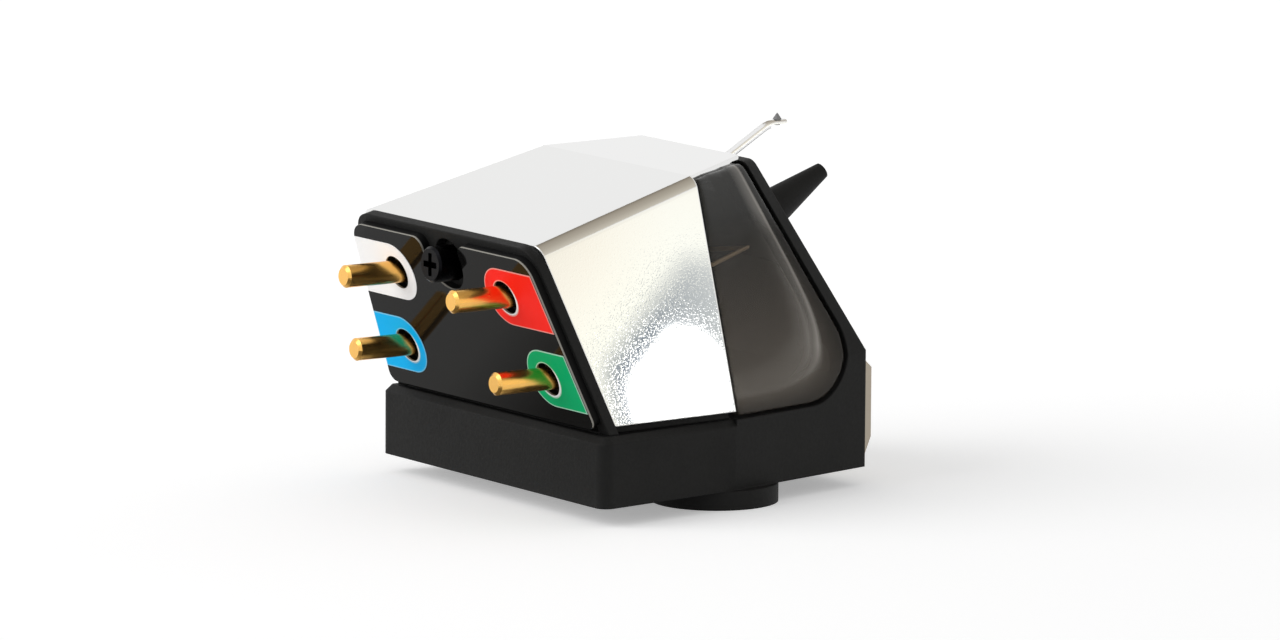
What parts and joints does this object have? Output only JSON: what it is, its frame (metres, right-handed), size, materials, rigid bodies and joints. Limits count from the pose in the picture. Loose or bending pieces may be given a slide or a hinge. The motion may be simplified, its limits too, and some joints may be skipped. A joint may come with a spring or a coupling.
{
  "type": "turntable stylus cartridge",
  "caption": "Moving-magnet phono cartridge with a folded metal cover, a smoked front window, a leaning rear plate with colour-coded terminal pins and a bent cantilever with its stylus.",
  "frame": {"origin": "midway between the two mounting holes, on the mounting face of the bosses", "axes": "+Y towards the stylus end, +Z away from the mounting face, +X across"},
  "size_m": [0.0206, 0.0273, 0.019],
  "materials": {
    "black_moulding": "fine matt",
    "polished_sheet": "polished",
    "smoked_clear": "gloss, clear",
    "gloss_black": "gloss",
    "gold_plate": "gold-plated",
    "dark_steel": "blackened",
    "pale_metal": "satin",
    "bright_tube": "drawn",
    "diamond": "polished",
    "dark_magnet": "ground",
    "damper_rubber": "matt",
    "holder_metal": "turned",
    "steel_wire": "drawn",
    "copper": "enamelled",
    "pole_steel": "bright"
  },
  "bodies": {
    "cartridge": {"chassis": "black_moulding", "generator_carrier": "black_moulding", "shield_cover": "polished_sheet", "front_window": "smoked_clear", "terminal_plate": "gloss_black", "terminal_pin_white": "gold_plate", "terminal_pin_blue": "gold_plate", "terminal_pin_red": "gold_plate", "terminal_pin_green": "gold_plate", "retaining_screw": "dark_steel", "front_plate": "pale_metal", "suspension_holder": "holder_metal", "tie_wire": "steel_wire", "lead_wire_left": "copper", "lead_wire_right": "copper", "coil_lower_left": "copper", "coil_lower_right": "copper", "coil_upper_left": "copper", "coil_upper_right": "copper", "pole_piece_lower_left": "pole_steel", "pole_piece_lower_right": "pole_steel", "pole_piece_upper_left": "pole_steel", "pole_piece_upper_right": "pole_steel"},
    "damper": {"damper_ring": "damper_rubber"},
    "stylus_arm": {"cantilever": "bright_tube", "stylus": "diamond", "magnet": "dark_magnet"}
  },
  "joints": [
    {"name": "vertical_compliance", "type": "hinge", "parent": "cartridge", "child": "damper", "pos_m": [0, 0.0015, 0.01482], "axis": [1, 0, 0], "range_deg": [-4, 4], "stiffness_Nm_per_rad": 0.0035},
    {"name": "lateral_compliance", "type": "hinge", "parent": "damper", "child": "stylus_arm", "pos_m": [0, 0.0015, 0.01482], "axis": [0, -0.5, 0.866], "range_deg": [-3, 3], "stiffness_Nm_per_rad": 0.0035}
  ]
}
